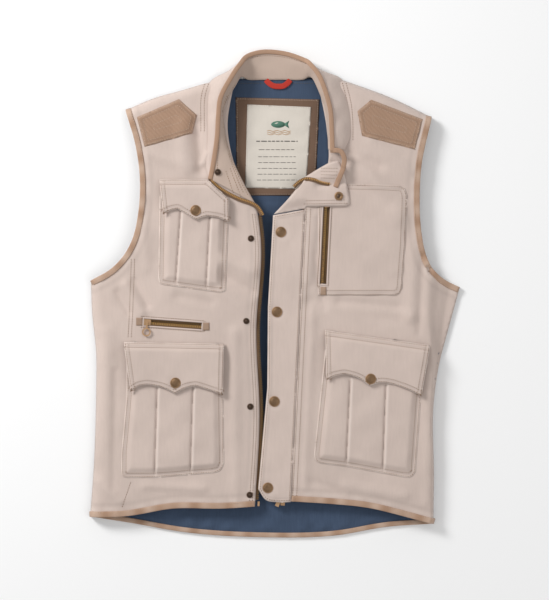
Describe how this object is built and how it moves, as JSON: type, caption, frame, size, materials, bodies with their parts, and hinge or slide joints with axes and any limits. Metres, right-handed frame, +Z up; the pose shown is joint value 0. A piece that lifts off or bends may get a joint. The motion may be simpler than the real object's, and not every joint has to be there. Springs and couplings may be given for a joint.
{
  "type": "fishing vest",
  "caption": "Sleeveless zip-front fishing vest laid flat and open, with snap-flap bellows pockets, zip pockets, storm placket, stand collar and contrast binding.",
  "frame": {"origin": "under the middle of the vest, on the surface that it lies on", "axes": "+X towards the wearer's left, +Y from hem to collar, +Z up out of the open front"},
  "size_m": [0.5723, 0.7558, 0.0391],
  "materials": {
    "shell_twill": "washed cotton twill",
    "collar_twill": "washed cotton twill, darker",
    "tan_trim": "cotton binding",
    "tan_corduroy": "fine corduroy",
    "blue_lining": "cotton chambray",
    "brown_frame": "brown cotton",
    "cream_label": "woven label",
    "red_tape": "woven tape",
    "zip_tape": "woven zip tape",
    "end_tab": "soft leather",
    "aged_brass": "antique brass",
    "dark_brass": "blackened brass",
    "brass_teeth": "brass"
  },
  "bodies": {
    "vest": {"armhole_binding_left": "tan_trim", "armhole_binding_right": "tan_trim", "back_hem_binding": "tan_trim", "back_lining": "blue_lining", "back_panel": "shell_twill", "chest_pocket_face": "shell_twill", "chest_pocket_gusset": "shell_twill", "chest_pocket_snap_stud": "dark_brass", "chest_zip_bag": "blue_lining", "chest_zip_panel": "shell_twill", "chest_zip_tape": "zip_tape", "chest_zip_teeth": "brass_teeth", "collar_binding": "tan_trim", "collar_end_left": "collar_twill", "collar_facing": "collar_twill", "collar_shell": "shell_twill", "collar_snaps": "dark_brass", "front_hem_binding_left": "tan_trim", "front_hem_binding_right": "tan_trim", "front_lining_left": "blue_lining", "front_lining_right": "blue_lining", "front_panel_left": "shell_twill", "front_panel_right": "shell_twill", "front_snap_studs": "dark_brass", "front_zip_box_and_pin": "aged_brass", "front_zip_tape_left": "zip_tape", "front_zip_tape_right": "zip_tape", "front_zip_teeth_left": "brass_teeth", "front_zip_teeth_right": "brass_teeth", "left_hip_pocket_face": "shell_twill", "left_hip_pocket_gusset": "shell_twill", "left_hip_pocket_snap_stud": "dark_brass", "neck_label": "cream_label", "neck_patch": "brown_frame", "right_hip_pocket_face": "shell_twill", "right_hip_pocket_gusset": "shell_twill", "right_hip_pocket_snap_stud": "dark_brass", "shoulder_patch_left": "tan_corduroy", "shoulder_patch_right": "tan_corduroy", "side_panel_left": "shell_twill", "side_panel_right": "shell_twill", "side_zip_bag": "blue_lining", "side_zip_tape": "zip_tape", "side_zip_teeth": "brass_teeth", "zip_end_tabs": "end_tab"},
    "chest_flap": {"chest_pocket_flap": "shell_twill", "chest_pocket_snap_cap": "aged_brass"},
    "right_hip_flap": {"right_hip_pocket_flap": "shell_twill", "right_hip_pocket_snap_cap": "aged_brass"},
    "left_hip_flap": {"left_hip_pocket_flap": "shell_twill", "left_hip_pocket_snap_cap": "aged_brass"},
    "placket": {"placket_flap": "shell_twill", "placket_snap_caps": "aged_brass"},
    "front_slider": {"front_zip_slider": "aged_brass"},
    "front_pull": {"front_zip_pull": "aged_brass"},
    "chest_slider": {"chest_zip_slider": "aged_brass"},
    "chest_pull": {"chest_zip_pull": "aged_brass"},
    "side_slider": {"side_zip_slider": "aged_brass"},
    "side_pull": {"side_zip_pull": "aged_brass"},
    "hanger": {"hanger_loop": "red_tape"}
  },
  "joints": [
    {"name": "chest_flap_lift", "type": "hinge", "parent": "vest", "child": "chest_flap", "pos_m": [-0.141, 0.176, 0.0189], "axis": [-1, 0, 0], "range_deg": [0, 40]},
    {"name": "right_hip_flap_lift", "type": "hinge", "parent": "vest", "child": "right_hip_flap", "pos_m": [-0.1555, -0.0755, 0.0189], "axis": [-0.9998, 0.0194, 0], "range_deg": [0, 95]},
    {"name": "left_hip_flap_lift", "type": "hinge", "parent": "vest", "child": "left_hip_flap", "pos_m": [0.158, -0.0675, 0.0189], "axis": [-0.9901, 0.1406, 0], "range_deg": [0, 95]},
    {"name": "placket_lift", "type": "hinge", "parent": "vest", "child": "placket", "pos_m": [0.035, -0.0955, 0.0201], "axis": [0.0487, 0.9988, 0], "range_deg": [0, 140]},
    {"name": "front_zip_slide", "type": "slide", "parent": "vest", "child": "front_slider", "axis": [0.0503, 0.9987, 0], "range_m": [0, 0.4]},
    {"name": "front_zip_pull_swing", "type": "hinge", "parent": "front_slider", "child": "front_pull", "pos_m": [0.0129, -0.3035, 0.01525], "axis": [-0.9205, 0.3907, 0], "range_deg": [0, 4]},
    {"name": "chest_zip_slide", "type": "slide", "parent": "vest", "child": "chest_slider", "axis": [-0.0472, -0.9989, 0], "range_m": [0, 0.115]},
    {"name": "chest_zip_pull_swing", "type": "hinge", "parent": "chest_slider", "child": "chest_pull", "pos_m": [0.08039, 0.14902, 0.02075], "axis": [-0.9989, 0.0472, 0], "range_deg": [0, 4]},
    {"name": "side_zip_slide", "type": "slide", "parent": "vest", "child": "side_slider", "axis": [0.9975, -0.0712, 0], "range_m": [0, 0.075]},
    {"name": "side_zip_pull_swing", "type": "hinge", "parent": "side_slider", "child": "side_pull", "pos_m": [-0.1971, -0.0445, 0.02075], "axis": [-0.9975, 0.0712, 0], "range_deg": [0, 165]},
    {"name": "hanger_loop_swing", "type": "hinge", "parent": "vest", "child": "hanger", "pos_m": [0.0045, 0.33, 0.00335], "axis": [-1, 0, 0], "range_deg": [0, 100]}
  ]
}
